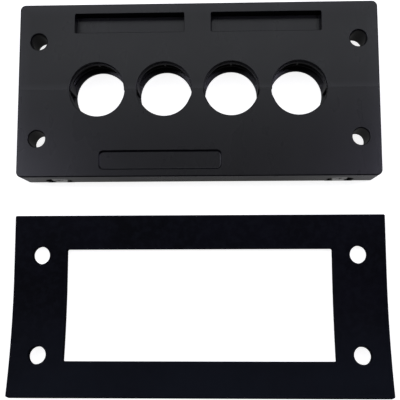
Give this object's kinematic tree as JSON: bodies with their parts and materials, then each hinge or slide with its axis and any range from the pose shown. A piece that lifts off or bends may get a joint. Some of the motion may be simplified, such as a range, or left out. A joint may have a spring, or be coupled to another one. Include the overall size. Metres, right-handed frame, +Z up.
{
  "type": "cable entry plate",
  "caption": "Split rectangular cable entry plate with a row of round grommet cells, label recesses and corner screw holes, with its rectangular window gasket beside it.",
  "frame": {"origin": "the middle of the bottom of the box round plate and gasket, on the surface that they lie on", "axes": "+X along the plate's long side, to the right in the picture; +Y from the gasket to the plate; +Z up, out of the plate's front face"},
  "size_m": [0.1204, 0.1262, 0.012],
  "materials": {
    "housing": "moulded black glass-filled polyamide with a fine dull grain",
    "screw": "bright zinc plate",
    "insert": "plain turned brass",
    "gasket": "soft black cellular rubber with a fine grain"
  },
  "bodies": {
    "root": {"upper_frame_half": "housing", "lower_frame_half": "housing", "joining_screw_left": "screw", "joining_screw_right": "screw", "thread_insert_left": "insert", "thread_insert_right": "insert", "flat_gasket": "gasket"}
  },
  "joints": []
}
